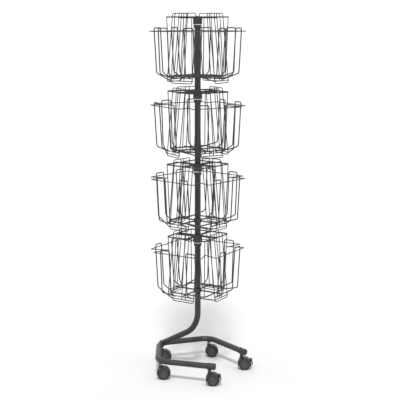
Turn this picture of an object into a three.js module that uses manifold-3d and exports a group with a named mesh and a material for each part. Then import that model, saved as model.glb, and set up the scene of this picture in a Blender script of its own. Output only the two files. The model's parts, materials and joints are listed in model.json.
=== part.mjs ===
// A floor-standing rotating display rack: four wire tiers, each turning on its own about one centre pole,
// with eight leaflet pockets to a tier, on a bent-tube base with five twin-wheel casters.
// Millimetres, +Z up. +X is the open side of the base, which is symmetric about an XZ plane through the pole.
import * as THREE from "three";
import { mergeVertices } from "three/addons/utils/BufferGeometryUtils.js";
import Module from "manifold-3d";

const wasm = await Module();
wasm.setup();

// ---- Driving dimensions -------------------------------------------------------------------------------------
const HEIGHT = 1524; // floor to the top of the highest wire
const TIER_COUNT = 4;
const TIER_PITCH = 303; // height of one tier
const TIER_TURN_DEG = [1.9, -24.3, -5.6, 3.8]; // how far each tier is turned at rest, top tier first
const GAP = 0.35; // air kept between pieces that touch

// Pole and hubs.
const POLE_R = 12.7;
const TUBE_WALL = 1.5;
const HUB_R = 19;
const HUB_BORE_R = 13.3;
const HUB_TOP = -14; // heights within a tier are measured down from the tier's top
const HUB_BOTTOM = -46;
const WASHER_R = 20;
const WASHER_THICK = 2.6;
const COLLAR_R = 16.5;
const COLLAR_HIGH = 13;

// Frames of a tier.
const FRAME_ROD = 5.5;
const FRAME_CORNER_R = 16;
const TOP_FRAME_HALF = 95;
const TOP_FRAME_Z = -17;
const BOTTOM_FRAME_HALF = 88;
const BOTTOM_FRAME_Z = -256;
const SPOKE_HIGH = 8;
const SPOKE_THICK = 4;
const GUIDE_R = 16.5;
const GUIDE_HIGH = 16;
const SPOKE_DROP = 1.5; // the flat spokes sit this much below the middle of the top frame's rod

// One face of a tier: n is the distance from the pole axis, t runs along the face.
const WIRE = 3.6;
const HOOP_WIRE = 4.8;
const LOOP_HALF = 51;
const LOOP_CORNER_R = 9;
const LOOP_TOP_N = 88;
const LOOP_LOW_N = 117.5;
const LOOP_LOW_Z = -281;
const RAIL_Z = [-271.5, -260]; // cross wires above the bottom of the back loop
const RING_Z = -74;
const RING_N = 161.5;
const RING_HALF = 116;
const RING_BACK_N = 103;
const RING_BACK_T = 97.5;
const RING_CORNER_R = 3.5;
const JOG_DEEP = 9;
const JOG_HALF = 9;
const POCKET_T = 62;
const HOOP_HALF = 22.3;
const HOOP_RISE = 13;
const HOOP_CORNER_R = 8;
const HOOP_LOW_N = 151;
const HOOP_LOW_Z = -244; // here each leg turns in, and its foot slopes down under the pocket
const HOOP_FOOT_R = 12;
const FOOT_END_Z = -261;

// Base.
const BASE_Z = 82;
const BASE_APOTHEM = 163; // middle of the base to its straight runs
const BASE_BACK = 8; // how far the middle of the base is behind the pole, away from the open side
const BASE_TUBE_R = 12.2;
const BASE_BEND_R = 60;
const BASE_END_EXTRA = 12;
const END_TO_CASTER = 20.5;
const RISER_ELBOW_Z = 193;
const RISER_BEND_R = 130;
const RISER_FOOT_Z = 84;
const RISER_BEND_STEPS = 5;
const POLE_JOINT_Z = 346;
const POLE_TOP = HEIGHT + HUB_TOP - 2;
const CAP_DEPTH = 30; // how far a leg cap reaches back over the tube, past the caster's stem
const CAP_WALL = 1.8;
const CAP_LIP = 3;
const CAP_CROWN = 2.5;
const BASE_BEND_STEPS = 3;

// Casters.
const WHEEL_R = 25;
const WHEEL_WIDE = 15;
const WHEEL_SIDES = 16;
const WEB_THICK = 7;
const WHEEL_SIDE_GAP = 0.8;
const AXLE_R = 3.6;
const AXLE_BORE_R = 4.2;
const TRAIL = 13; // swivel axis to axle
const HOOD_IN_R = 26.3;
const HOOD_OUT_R = 29;
const HOOD_FROM_DEG = -18; // the hood's lower edge behind the wheels, from the axle
const HOOD_TO_DEG = 190; // and its lower edge in front of them
const HOOD_STEPS = 9;
const BOSS_BOTTOM = 46;
const BOSS_R = 8;
const BOSS_TOP = 62;
const STEM_R = 5;
const SHOULDER_R = 7.2; // a shoulder on the stem, just under the tube or the leg cap
const SHOULDER_HIGH = 4;
const SHOULDER_GAP = 0.5;
const STEM_HOLE_R = 5.8;
const STEM_TOP = BASE_Z + 2;
const SWIVEL_DEG = 36; // all five casters stand trailing the same way
const LEVER_PIVOT_DEG = 30;
const LEVER_PIVOT_R = HOOD_OUT_R + 3.4;
const LEVER_BARREL_R = 2.6;
const LEVER_HALF = 9;
const LEVER_IN_R = HOOD_OUT_R + 2.6; // leaves room for the lever's travel
const LEVER_OUT_R = LEVER_IN_R + 3.9;
const LEVER_LOW_DEG = -8;
const BEAK_R = 39.5;
const BEAK_DEG = 33;
const EAR_THICK = 3;

// ---- Geometry helpers ---------------------------------------------------------------------------------------
const vec = (x, y, z) => new THREE.Vector3(x, y, z);
const radians = THREE.MathUtils.degToRad;
const sharp = (x, y, z) => Object.assign(vec(x, y, z), { sharp: true });

// A closed three.js geometry as a manifold-3d solid.
function solidOf(geometry) {
  const bare = geometry.clone();
  bare.deleteAttribute("normal");
  bare.deleteAttribute("uv");
  const merged = mergeVertices(bare, 1e-4);
  return new wasm.Manifold(
    new wasm.Mesh({
      numProp: 3,
      vertProperties: new Float32Array(merged.attributes.position.array),
      triVerts: new Uint32Array(merged.index.array),
    }),
  );
}

function geometryOf(solid) {
  const mesh = solid.getMesh();
  const geometry = new THREE.BufferGeometry();
  geometry.setAttribute("position", new THREE.BufferAttribute(new Float32Array(mesh.vertProperties), 3));
  geometry.setIndex(new THREE.BufferAttribute(new Uint32Array(mesh.triVerts), 1));
  const flat = geometry.toNonIndexed();
  flat.computeVertexNormals();
  return flat;
}

const joined = (solids) => solids.reduce((sum, next) => sum.add(next));

// A path through stations, sampled exactly at them.
class Stations extends THREE.Curve {
  constructor(points) {
    super();
    this.points = points;
  }
  getPoint(share, target = new THREE.Vector3()) {
    const last = this.points.length - 1;
    const place = Math.min(Math.max(share, 0), 1) * last;
    const low = Math.min(Math.floor(place), last - 1);
    return target.lerpVectors(this.points[low], this.points[low + 1], place - low);
  }
  getPointAt(share, target) {
    return this.getPoint(share, target);
  }
  getTangentAt(share, target = new THREE.Vector3()) {
    const last = this.points.length - 1;
    const near = Math.round(share * last);
    const before = this.points[Math.max(near - 1, 0)];
    const here = this.points[near];
    const after = this.points[Math.min(near + 1, last)];
    const into = here.clone().sub(before).normalize();
    const out = after.clone().sub(here).normalize();
    return target.copy(into).add(out).normalize();
  }
}

// The corner points with each inner corner rounded in a few straight steps. Corners marked sharp stay sharp.
function rounded(corners, radius, steps) {
  const points = [corners[0]];
  for (let i = 1; i < corners.length - 1; i++) {
    const corner = corners[i];
    if (corner.sharp) {
      points.push(corner);
      continue;
    }
    const back = corners[i - 1].clone().sub(corner).normalize();
    const ahead = corners[i + 1].clone().sub(corner).normalize();
    const half = back.angleTo(ahead) / 2;
    const reach = radius / Math.tan(half);
    const inward = back.clone().add(ahead).normalize();
    const centre = corner.clone().addScaledVector(inward, radius / Math.sin(half));
    const from = corner.clone().addScaledVector(back, reach).sub(centre);
    const to = corner.clone().addScaledVector(ahead, reach).sub(centre);
    const axis = from.clone().cross(to).normalize();
    const sweep = from.angleTo(to);
    for (let step = 0; step <= steps; step++) {
      points.push(from.clone().applyAxisAngle(axis, (sweep * step) / steps).add(centre));
    }
  }
  points.push(corners[corners.length - 1]);
  return points;
}

function polygon(radius, sides) {
  const points = [];
  for (let i = 0; i < sides; i++) {
    const angle = (2 * Math.PI * i) / sides;
    points.push(new THREE.Vector2(radius * Math.cos(angle), radius * Math.sin(angle)));
  }
  return points;
}

// A rod, or a tube with a bore, along the stations.
function swept(points, radius, sides, boreRadius = 0) {
  const section = new THREE.Shape(polygon(radius, sides));
  if (boreRadius > 0) section.holes.push(new THREE.Path(polygon(boreRadius, sides)));
  const path = new Stations(points);
  return solidOf(
    new THREE.ExtrudeGeometry(section, { steps: points.length - 1, extrudePath: path, bevelEnabled: false }),
  );
}

const WIRE_SIDES = 4;
const WIRE_STEPS = 1; // each bend of a wire is one straight chamfer
const wireAlong = (points, diameter) => swept(points, diameter / 2, WIRE_SIDES);

// A ring of wire, made as two halves that overlap where they meet. The corners are given in order.
function wireLoop(corners, radius, diameter) {
  const middle = corners[0].clone().lerp(corners[1], 0.5);
  const far = corners[2].clone().lerp(corners[3], 0.5);
  const overlap = corners[1].clone().sub(corners[0]).setLength(1);
  const first = [middle, corners[1], corners[2], far.clone().sub(overlap)];
  const second = [far, corners[3], corners[0], middle.clone().add(overlap)];
  return joined([first, second].map((half) => wireAlong(rounded(half, radius, WIRE_STEPS), diameter)));
}

// A lathe about Z through (radius, height) points that start and end on the axis or close on themselves.
function turned(profile, sides) {
  const points = profile.map(([radius, height]) => new THREE.Vector2(radius, height));
  const geometry = new THREE.LatheGeometry(points, sides, Math.PI / sides);
  return geometry.rotateX(Math.PI / 2);
}

function sleeve(outer, bore, bottom, top, sides = 16) {
  return turned([[bore, bottom], [outer, bottom], [outer, top], [bore, top], [bore, bottom]], sides);
}

function box(low, high) {
  const size = high.clone().sub(low);
  const middle = low.clone().add(high).multiplyScalar(0.5);
  return new THREE.BoxGeometry(size.x, size.y, size.z).translate(middle.x, middle.y, middle.z);
}

// A flat outline given in x and z, with thickness from low to high along y.
function plate(outline, low, high) {
  const shape = new THREE.Shape(outline.map(([x, z]) => new THREE.Vector2(x, z)));
  const geometry = new THREE.ExtrudeGeometry(shape, { depth: high - low, bevelEnabled: false, steps: 1 });
  return geometry.rotateX(Math.PI / 2).translate(0, high, 0);
}

// ---- Materials ----------------------------------------------------------------------------------------------
const coated = () => new THREE.MeshStandardMaterial({ color: 0x413c38, roughness: 0.5, metalness: 0.3 });
const coatedTube = () => new THREE.MeshStandardMaterial({ color: 0x3a3d3d, roughness: 0.45, metalness: 0.3 });
const nylon = () => new THREE.MeshStandardMaterial({ color: 0xb9bcbc, roughness: 0.55, metalness: 0 });
const casterPlastic = () => new THREE.MeshStandardMaterial({ color: 0x343638, roughness: 0.5, metalness: 0 });
const wheelPlastic = () => new THREE.MeshStandardMaterial({ color: 0x4a4e50, roughness: 0.6, metalness: 0 });

function named(name, geometry, material) {
  const mesh = new THREE.Mesh(geometry, material);
  mesh.name = name;
  return mesh;
}

// ---- Tier ---------------------------------------------------------------------------------------------------
// Four flat bars run out from the sleeve on the pole to the frame, the first along +X.
function spokes(fromRadius, toRadius, z, high) {
  const bars = [];
  for (let i = 0; i < 4; i++) {
    const low = vec(fromRadius, -SPOKE_THICK / 2, z - high / 2);
    const bar = box(low, vec(toRadius, SPOKE_THICK / 2, z + high / 2));
    bars.push(solidOf(bar.rotateZ((i * Math.PI) / 2)));
  }
  return bars;
}

function squareFrame(half, z) {
  const corners = [vec(half, -half, z), vec(half, half, z), vec(-half, half, z), vec(-half, -half, z)];
  return wireLoop(corners, FRAME_CORNER_R, FRAME_ROD);
}

function topFrame() {
  const bars = spokes(HUB_R + GAP, TOP_FRAME_HALF, TOP_FRAME_Z - SPOKE_DROP, SPOKE_HIGH);
  return geometryOf(joined([squareFrame(TOP_FRAME_HALF, TOP_FRAME_Z), ...bars]));
}

// The lower frame turns on the pole by a short guide sleeve, and its corner posts reach up to the top frame.
function bottomFrame() {
  const low = BOTTOM_FRAME_Z - GUIDE_HIGH / 2;
  const guide = solidOf(sleeve(GUIDE_R, HUB_BORE_R, low, low + GUIDE_HIGH));
  const reach = loopN(BOTTOM_FRAME_Z) - WIRE / 2 - GAP;
  const bars = spokes(GUIDE_R - 1, reach, BOTTOM_FRAME_Z, FRAME_ROD);
  const cornerIn = FRAME_CORNER_R / 2;
  const lowXY = BOTTOM_FRAME_HALF - cornerIn;
  const topXY = TOP_FRAME_HALF - cornerIn;
  const topZ = TOP_FRAME_Z - FRAME_ROD / 2 - WIRE / 2 - GAP;
  const posts = [];
  for (const [sx, sy] of [[1, 1], [-1, 1], [-1, -1], [1, -1]]) {
    const line = [vec(sx * lowXY, sy * lowXY, BOTTOM_FRAME_Z), vec(sx * topXY, sy * topXY, topZ)];
    posts.push(wireAlong(line, WIRE));
  }
  return geometryOf(joined([squareFrame(BOTTOM_FRAME_HALF, BOTTOM_FRAME_Z), guide, ...bars, ...posts]));
}

// The n of the leaning back loop at a height within the tier.
const loopN = (z) => LOOP_TOP_N + ((LOOP_LOW_N - LOOP_TOP_N) * z) / LOOP_LOW_Z;
// The n of the leaning front hoops at a height within the tier.
const hoopN = (z) => RING_N + ((HOOP_LOW_N - RING_N) * (z - RING_Z)) / (HOOP_LOW_Z - RING_Z);

// A rectangle's outline with cut corners.
function cutRectangle(left, bottom, right, top, cut) {
  return [
    [left + cut, bottom],
    [right - cut, bottom],
    [right, bottom + cut],
    [right, top - cut],
    [right - cut, top],
    [left + cut, top],
    [left, top - cut],
    [left, bottom + cut],
  ];
}

// The back loop leans, and two cross wires run above its bottom wire. Drawn flat, with t across and height up.
function backLoop() {
  const half = WIRE / 2;
  const lean = Math.atan2(LOOP_LOW_N - LOOP_TOP_N, -LOOP_LOW_Z);
  const top = -half * Math.tan(lean); // so that the leaning top wire just reaches the tier's top
  const outline = (corners) => corners.map(([t, z]) => new THREE.Vector2(t, z));
  const low = LOOP_LOW_Z - half;
  const outer = cutRectangle(-LOOP_HALF - half, low, LOOP_HALF + half, top, LOOP_CORNER_R / 2);
  const shape = new THREE.Shape(outline(outer));
  const inside = LOOP_HALF - half;
  const levels = [LOOP_LOW_Z, ...RAIL_Z, -half];
  for (let i = 0; i < levels.length - 1; i++) {
    const hole = [
      [-inside, levels[i] + half],
      [inside, levels[i] + half],
      [inside, levels[i + 1] - half],
      [-inside, levels[i + 1] - half],
    ];
    shape.holes.push(new THREE.Path(outline(hole)));
  }
  const plateGeometry = new THREE.ExtrudeGeometry(shape, { depth: WIRE, bevelEnabled: false });
  plateGeometry.translate(0, 0, -half).rotateX(Math.PI / 2).rotateZ(Math.PI / 2).rotateY(-lean);
  return [solidOf(plateGeometry.translate(LOOP_TOP_N, 0, 0))];
}

// The front wire of a face, with a small jog inward between its pockets and its ends turned in to the corners.
function frontWire() {
  const z = RING_Z;
  const corners = [
    vec(RING_BACK_N, -RING_BACK_T, z),
    vec(RING_N, -RING_HALF, z),
    sharp(RING_N, -JOG_HALF, z),
    sharp(RING_N - JOG_DEEP, 0, z),
    sharp(RING_N, JOG_HALF, z),
    vec(RING_N, RING_HALF, z),
    vec(RING_BACK_N, RING_BACK_T, z),
  ];
  return wireAlong(rounded(corners, RING_CORNER_R, WIRE_STEPS), WIRE);
}

// Where the foot of the leg at t ends: an inner foot on the face's own back loop, one outer foot on the side of
// that loop, and the other outer foot beside the low corner of the next face's loop.
function footEnd(t) {
  const n = loopN(FOOT_END_Z);
  if (Math.abs(t) < LOOP_HALF) return vec(n, t, FOOT_END_Z);
  if (t < 0) return vec(n, -LOOP_HALF, FOOT_END_Z);
  return vec(LOOP_HALF + WIRE / 2 + HOOP_WIRE / 2 + 1, LOOP_LOW_N, LOOP_LOW_Z + 10);
}

// A pocket's front hoop: up one leg, across, down the other, and each leg turned in to its foot.
function hoop(middle) {
  const n = (z) => hoopN(z) - (WIRE + HOOP_WIRE) / 2 + 0.4;
  const top = RING_Z + HOOP_RISE;
  const leg = (t) => [footEnd(t), vec(n(HOOP_LOW_Z), t, HOOP_LOW_Z), vec(n(top), t, top)];
  const left = leg(middle - HOOP_HALF);
  const right = leg(middle + HOOP_HALF).reverse();
  const foot = rounded(left, HOOP_FOOT_R, WIRE_STEPS).slice(0, -1);
  const crown = rounded([left[1], left[2], right[0], right[1]], HOOP_CORNER_R, WIRE_STEPS).slice(1, -1);
  const otherFoot = rounded(right, HOOP_FOOT_R, WIRE_STEPS).slice(1);
  return wireAlong([...foot, ...crown, ...otherFoot], HOOP_WIRE);
}

function face() {
  const hoops = [-POCKET_T, POCKET_T].map(hoop);
  return geometryOf(joined([...backLoop(), frontWire(), ...hoops]));
}

function tier(number) {
  const group = new THREE.Group();
  const name = `tier${number}`;
  group.add(named(`${name}_hub`, sleeve(HUB_R, HUB_BORE_R, HUB_BOTTOM, HUB_TOP), coatedTube()));
  group.add(named(`${name}_top_frame`, topFrame(), coated()));
  group.add(named(`${name}_bottom_frame`, bottomFrame(), coated()));
  const side = face();
  ["a", "b", "c", "d"].forEach((letter, index) => {
    const mesh = named(`${name}_face_${letter}`, side.clone(), coated());
    mesh.rotation.z = (index * Math.PI) / 2;
    group.add(mesh);
  });
  group.rotation.z = radians(TIER_TURN_DEG[number - 1]);
  return group;
}

// The collar is fixed to the pole, and the washer on it carries the tier's hub.
function tierSeat(number) {
  const group = new THREE.Group();
  const washerTop = HUB_BOTTOM - GAP;
  const collarTop = washerTop - WASHER_THICK - GAP;
  const bore = POLE_R + GAP + 0.15;
  const washer = sleeve(WASHER_R, bore, washerTop - WASHER_THICK, washerTop);
  group.add(named(`tier${number}_washer`, washer, nylon()));
  const collar = sleeve(COLLAR_R, bore, collarTop - COLLAR_HIGH, collarTop);
  group.add(named(`tier${number}_collar`, collar, coatedTube()));
  return group;
}

// ---- Stand --------------------------------------------------------------------------------------------------
const TUBE_SIDES = 12;
const BASE_CORNER_R = BASE_APOTHEM / Math.cos(radians(36));

function baseCorner(degrees, radius) {
  const angle = radians(degrees);
  return vec(radius * Math.cos(angle) - BASE_BACK, radius * Math.sin(angle), BASE_Z);
}

// The base tube's corners, from the end at -36 degrees round the back to the end at +36 degrees.
function baseLine() {
  const corners = [-36, -108, 180, 108, 36].map((degrees) => baseCorner(degrees, BASE_CORNER_R));
  for (const [end, next] of [[0, 1], [4, 3]]) {
    const outward = corners[end].clone().sub(corners[next]).setLength(BASE_END_EXTRA);
    corners[end].add(outward);
  }
  return corners;
}

// Where the five swivel axes stand: three under the bends, two under the straight ends.
function casterPlaces() {
  const bendRadius = BASE_CORNER_R - BASE_BEND_R * (1 / Math.cos(radians(36)) - 1);
  const line = baseLine();
  const places = [-108, 180, 108].map((degrees) => baseCorner(degrees, bendRadius));
  const right = line[0].clone().lerp(line[1], END_TO_CASTER / line[0].distanceTo(line[1]));
  const left = line[4].clone().lerp(line[3], END_TO_CASTER / line[4].distanceTo(line[3]));
  return { a: places[0], b: places[1], c: places[2], d: left, e: right };
}

const baseStations = () => rounded(baseLine(), BASE_BEND_R, BASE_BEND_STEPS);

function baseTube() {
  const bore = BASE_TUBE_R - TUBE_WALL;
  const tube = swept(baseStations(), BASE_TUBE_R, TUBE_SIDES, bore);
  const holes = Object.values(casterPlaces()).map(stemHole);
  return geometryOf(holes.reduce((left, hole) => left.subtract(hole), tube));
}

// The hole for a caster's stem, from below up to the middle of the tube.
function stemHole(place) {
  const drill = turned([[0, 0], [STEM_HOLE_R, 0], [STEM_HOLE_R, BASE_Z], [0, BASE_Z]], 10);
  return solidOf(drill.translate(place.x, place.y, 0));
}

// A moulded cup pressed over each end of the base tube. The caster's stem passes up through it.
const CAP_IN_R = BASE_TUBE_R + GAP;
const CAP_OUT_R = CAP_IN_R + CAP_WALL;

function legCap(end, next, stemPlace) {
  const inner = CAP_IN_R;
  const outer = CAP_OUT_R;
  const profile = [
    [0, GAP],
    [inner, GAP],
    [inner, -CAP_DEPTH],
    [outer, -CAP_DEPTH],
    [outer, CAP_LIP],
    [outer - CAP_LIP, CAP_LIP + CAP_CROWN],
    [0, CAP_LIP + CAP_CROWN],
  ];
  const geometry = turned(profile, TUBE_SIDES);
  const along = end.clone().sub(next).normalize();
  const turn = new THREE.Quaternion().setFromUnitVectors(vec(0, 0, 1), along);
  const cup = solidOf(geometry.applyQuaternion(turn).translate(end.x, end.y, end.z));
  return geometryOf(cup.subtract(stemHole(stemPlace)));
}

// The riser leans in from the middle bend of the base and turns upright into the pole. Its foot is coped to
// the base tube.
function riser() {
  const foot = casterPlaces().b;
  const corners = [
    vec(foot.x, 0, RISER_FOOT_Z),
    vec(0, 0, RISER_ELBOW_Z),
    vec(0, 0, POLE_JOINT_Z),
  ];
  const line = rounded(corners, RISER_BEND_R, RISER_BEND_STEPS);
  const tube = swept(line, POLE_R, TUBE_SIDES, POLE_R - TUBE_WALL);
  const cope = swept(baseStations(), BASE_TUBE_R + 1.5 * GAP, TUBE_SIDES);
  const pieces = tube.subtract(cope).decompose();
  return geometryOf(pieces.sort((one, other) => other.volume() - one.volume())[0]);
}

function poleTube() {
  return sleeve(POLE_R, POLE_R - TUBE_WALL, POLE_JOINT_Z + GAP, POLE_TOP, 24);
}

// A plug with a low rim that closes the top of the pole.
function poleCap() {
  const plug = POLE_R - TUBE_WALL - GAP;
  const profile = [
    [0, POLE_TOP - 14],
    [plug, POLE_TOP - 14],
    [plug, POLE_TOP + GAP],
    [POLE_R, POLE_TOP + GAP],
    [POLE_R, POLE_TOP + CAP_CROWN],
    [POLE_R - 1.5, POLE_TOP + 4],
    [0, POLE_TOP + 4],
  ];
  return turned(profile, 20);
}

// ---- Casters ------------------------------------------------------------------------------------------------
// In a caster's own frame the swivel axis is Z, +X is the way it trails, and the axle lies along Y.
const wheelInner = WEB_THICK / 2 + WHEEL_SIDE_GAP;
const axleHalf = wheelInner + WHEEL_WIDE - 4;
const hoodHalf = wheelInner + WHEEL_WIDE - 1.5;

function arcPoints(radius, fromDeg, toDeg, steps) {
  const points = [];
  for (let i = 0; i <= steps; i++) {
    const angle = radians(fromDeg + ((toDeg - fromDeg) * i) / steps);
    points.push([TRAIL + radius * Math.cos(angle), WHEEL_R + radius * Math.sin(angle)]);
  }
  return points;
}

// The two casters with brakes stand under the leg caps, the others under the bare tube.
function housing(hasBrake) {
  const overWheels = arcPoints(HOOD_OUT_R, HOOD_FROM_DEG, HOOD_TO_DEG, HOOD_STEPS);
  const hoodOutline = [...overWheels, ...arcPoints(HOOD_IN_R, HOOD_TO_DEG, HOOD_FROM_DEG, HOOD_STEPS)];
  const hood = solidOf(plate(hoodOutline, -hoodHalf, hoodHalf));
  const webTop = arcPoints(HOOD_OUT_R - 1, HOOD_FROM_DEG, HOOD_TO_DEG, HOOD_STEPS);
  const webOutline = [...webTop, ...arcPoints(AXLE_R * 3, 200, 340, 3)];
  const web = solidOf(plate(webOutline, -WEB_THICK / 2, WEB_THICK / 2));
  const axle = new THREE.CylinderGeometry(AXLE_R, AXLE_R, 2 * axleHalf, 10);
  const shoulderTop = BASE_Z - (hasBrake ? CAP_OUT_R : BASE_TUBE_R) - SHOULDER_GAP;
  const shoulderBottom = shoulderTop - SHOULDER_HIGH;
  const stemProfile = [
    [0, BOSS_BOTTOM],
    [BOSS_R, BOSS_BOTTOM],
    [BOSS_R, BOSS_TOP],
    [STEM_R, BOSS_TOP],
    [STEM_R, shoulderBottom],
    [SHOULDER_R, shoulderBottom],
    [SHOULDER_R, shoulderTop],
    [STEM_R, shoulderTop],
    [STEM_R, STEM_TOP],
    [0, STEM_TOP],
  ];
  const stem = solidOf(turned(stemProfile, 14));
  const wheelRoom = new THREE.CylinderGeometry(HOOD_IN_R, HOOD_IN_R, 2 * hoodHalf + 2, 18);
  const pieces = [hood, web, solidOf(axle.translate(TRAIL, 0, WHEEL_R))];
  pieces.push(stem.subtract(solidOf(wheelRoom.translate(TRAIL, 0, WHEEL_R))));
  if (hasBrake) pieces.push(...leverEars());
  return geometryOf(joined(pieces));
}

const leverPivot = () => [
  TRAIL + LEVER_PIVOT_R * Math.cos(radians(LEVER_PIVOT_DEG)),
  WHEEL_R + LEVER_PIVOT_R * Math.sin(radians(LEVER_PIVOT_DEG)),
];

// Two ears on the hood hold the lever's barrel between them.
function leverEars() {
  const outline = [...arcPoints(HOOD_OUT_R - 1, 20, 40, 2), ...arcPoints(HOOD_OUT_R + 6.5, 40, 20, 2)];
  const inner = LEVER_HALF + GAP + 0.15;
  const outer = inner + EAR_THICK;
  return [solidOf(plate(outline, inner, outer)), solidOf(plate(outline, -outer, -inner))];
}

// The foot lever of a locking caster: a barrel near its top, a beak to press, and a curved skirt below that
// swings in towards the wheels.
function brakeLever() {
  const [x, z] = leverPivot();
  const barrel = new THREE.CylinderGeometry(LEVER_BARREL_R, LEVER_BARREL_R, 2 * LEVER_HALF, 10);
  const outline = [
    ...arcPoints(LEVER_IN_R, LEVER_PIVOT_DEG, LEVER_LOW_DEG, 4),
    ...arcPoints(LEVER_OUT_R, LEVER_LOW_DEG, LEVER_PIVOT_DEG - 4, 4),
    ...arcPoints(BEAK_R, BEAK_DEG - 2, BEAK_DEG, 1),
    ...arcPoints(LEVER_PIVOT_R + LEVER_BARREL_R, LEVER_PIVOT_DEG + 2, LEVER_PIVOT_DEG, 1),
  ];
  const shapes = [barrel.translate(x, 0, z), plate(outline, -LEVER_HALF, LEVER_HALF)];
  return geometryOf(joined(shapes.map(solidOf)));
}

// A wheel with a flat on its tread every 22.5 degrees, one of them on the floor, and a blind bore on its
// inner side.
function wheel(side) {
  const rim = WHEEL_R / Math.cos(Math.PI / WHEEL_SIDES);
  const inner = wheelInner;
  const outer = inner + WHEEL_WIDE;
  const boreEnd = axleHalf + 0.6;
  const profile = [
    [AXLE_BORE_R, inner],
    [rim, inner],
    [rim, outer - 1.5],
    [rim - 2, outer],
    [0, outer],
    [0, boreEnd],
    [AXLE_BORE_R, boreEnd],
    [AXLE_BORE_R, inner],
  ];
  const points = profile.map(([radius, along]) => new THREE.Vector2(radius, along));
  const geometry = new THREE.LatheGeometry(points, WHEEL_SIDES, Math.PI / WHEEL_SIDES);
  if (side < 0) geometry.rotateZ(Math.PI);
  return geometry.translate(TRAIL, 0, WHEEL_R);
}

function caster(letter, place) {
  const group = new THREE.Group();
  const hasBrake = letter === "d" || letter === "e";
  group.add(named(`caster_${letter}_housing`, housing(hasBrake), casterPlastic()));
  group.add(named(`caster_${letter}_wheel_left`, wheel(1), wheelPlastic()));
  group.add(named(`caster_${letter}_wheel_right`, wheel(-1), wheelPlastic()));
  if (hasBrake) group.add(named(`caster_${letter}_brake_lever`, brakeLever(), casterPlastic()));
  group.position.set(place.x, place.y, 0);
  group.rotation.z = radians(SWIVEL_DEG);
  return group;
}

// ---- Rack ---------------------------------------------------------------------------------------------------
function rack() {
  const group = new THREE.Group();
  const line = baseLine();
  const places = casterPlaces();
  group.add(named("base_tube", baseTube(), coatedTube()));
  group.add(named("leg_cap_right", legCap(line[0], line[1], places.e), casterPlastic()));
  group.add(named("leg_cap_left", legCap(line[4], line[3], places.d), casterPlastic()));
  group.add(named("riser_tube", riser(), coatedTube()));
  group.add(named("pole_tube", poleTube(), coatedTube()));
  group.add(named("pole_cap", poleCap(), casterPlastic()));
  for (let number = 1; number <= TIER_COUNT; number++) {
    const top = HEIGHT - (number - 1) * TIER_PITCH;
    for (const part of [tier(number), tierSeat(number)]) {
      part.position.z = top;
      group.add(part);
    }
  }
  for (const [letter, place] of Object.entries(places)) group.add(caster(letter, place));
  return group;
}

// The origin is on the floor at the middle of the rack's outline.
function centred(group) {
  group.updateMatrixWorld(true);
  const middle = new THREE.Box3().setFromObject(group, true).getCenter(vec(0, 0, 0));
  group.position.set(-middle.x, -middle.y, 0);
  const outer = new THREE.Group();
  outer.add(group);
  return outer;
}

export default centred(rack());
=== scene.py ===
import json
import math

import bmesh
import bpy
from mathutils import Matrix, Quaternion, Vector


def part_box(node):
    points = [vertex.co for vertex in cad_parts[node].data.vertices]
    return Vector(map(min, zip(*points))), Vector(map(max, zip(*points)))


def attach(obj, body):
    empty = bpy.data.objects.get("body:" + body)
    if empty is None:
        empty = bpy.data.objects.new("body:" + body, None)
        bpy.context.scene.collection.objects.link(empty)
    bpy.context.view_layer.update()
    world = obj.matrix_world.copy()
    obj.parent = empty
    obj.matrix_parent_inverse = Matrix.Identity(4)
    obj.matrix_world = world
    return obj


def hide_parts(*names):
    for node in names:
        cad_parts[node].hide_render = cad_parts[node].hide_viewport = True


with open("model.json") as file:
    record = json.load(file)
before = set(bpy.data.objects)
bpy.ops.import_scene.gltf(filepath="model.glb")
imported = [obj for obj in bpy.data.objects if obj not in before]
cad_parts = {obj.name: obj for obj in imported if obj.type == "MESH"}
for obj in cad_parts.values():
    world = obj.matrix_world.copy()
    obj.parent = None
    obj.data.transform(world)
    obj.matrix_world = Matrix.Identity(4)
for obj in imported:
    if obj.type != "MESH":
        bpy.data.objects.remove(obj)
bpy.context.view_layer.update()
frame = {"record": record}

# ---- Places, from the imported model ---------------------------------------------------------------
BODY_OF = {node: body for body, nodes in frame["record"]["behaviour"]["bodies"].items() for node in nodes}
JOINT_AT = {joint["name"]: Vector(joint["pos_m"]) for joint in frame["record"]["behaviour"]["joints"]}
JOINT_DROP = 0.030  # a tier's joint is this far below the tier's top
POLE = Vector((JOINT_AT["tier_1_spin"].x, JOINT_AT["tier_1_spin"].y, 0))
TIERS = (1, 2, 3, 4)
TIER_TURN = {1: 1.9, 2: -24.3, 3: -5.6, 4: 3.8}  # degrees
FACES = {"a": 0, "b": 90, "c": 180, "d": 270}  # degrees
CASTERS = ("a", "b", "c", "d", "e")
BRAKED = ("d", "e")

# ---- Dimensions, as in the CAD model -------------------------------------------------------------
POLE_R = 0.0127
HUB_R = 0.019
HUB_BORE_R = 0.0133
HUB_TOP = -0.014
HUB_BOTTOM = -0.046
GROOVE_DEEP = 0.0005
WASHER_R = 0.020
COLLAR_R = 0.0165
SLEEVE_BORE_R = 0.0132
FRAME_ROD_R = 0.00275
FRAME_CORNER_R = 0.016
TOP_FRAME_HALF = 0.095
TOP_FRAME_Z = -0.017
BOTTOM_FRAME_HALF = 0.088
BOTTOM_FRAME_Z = -0.256
SPOKE_HIGH = 0.008
SPOKE_THICK = 0.004
SPOKE_DROP = 0.0015
SPOKE_WELD_R = 0.0016
GUIDE_R = 0.0165
GUIDE_HIGH = 0.016
WIRE_R = 0.0018
HOOP_R = 0.0024
PRESS = 0.0004  # how far parts that are welded together are pressed into each other
LOOP_HALF = 0.051
LOOP_CORNER_R = 0.009
LOOP_TOP_N = 0.088
LOOP_LOW_N = 0.1175
LOOP_LOW_Z = -0.281
RAIL_Z = (-0.2715, -0.260)
UPRIGHT_T = 0.009
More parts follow.
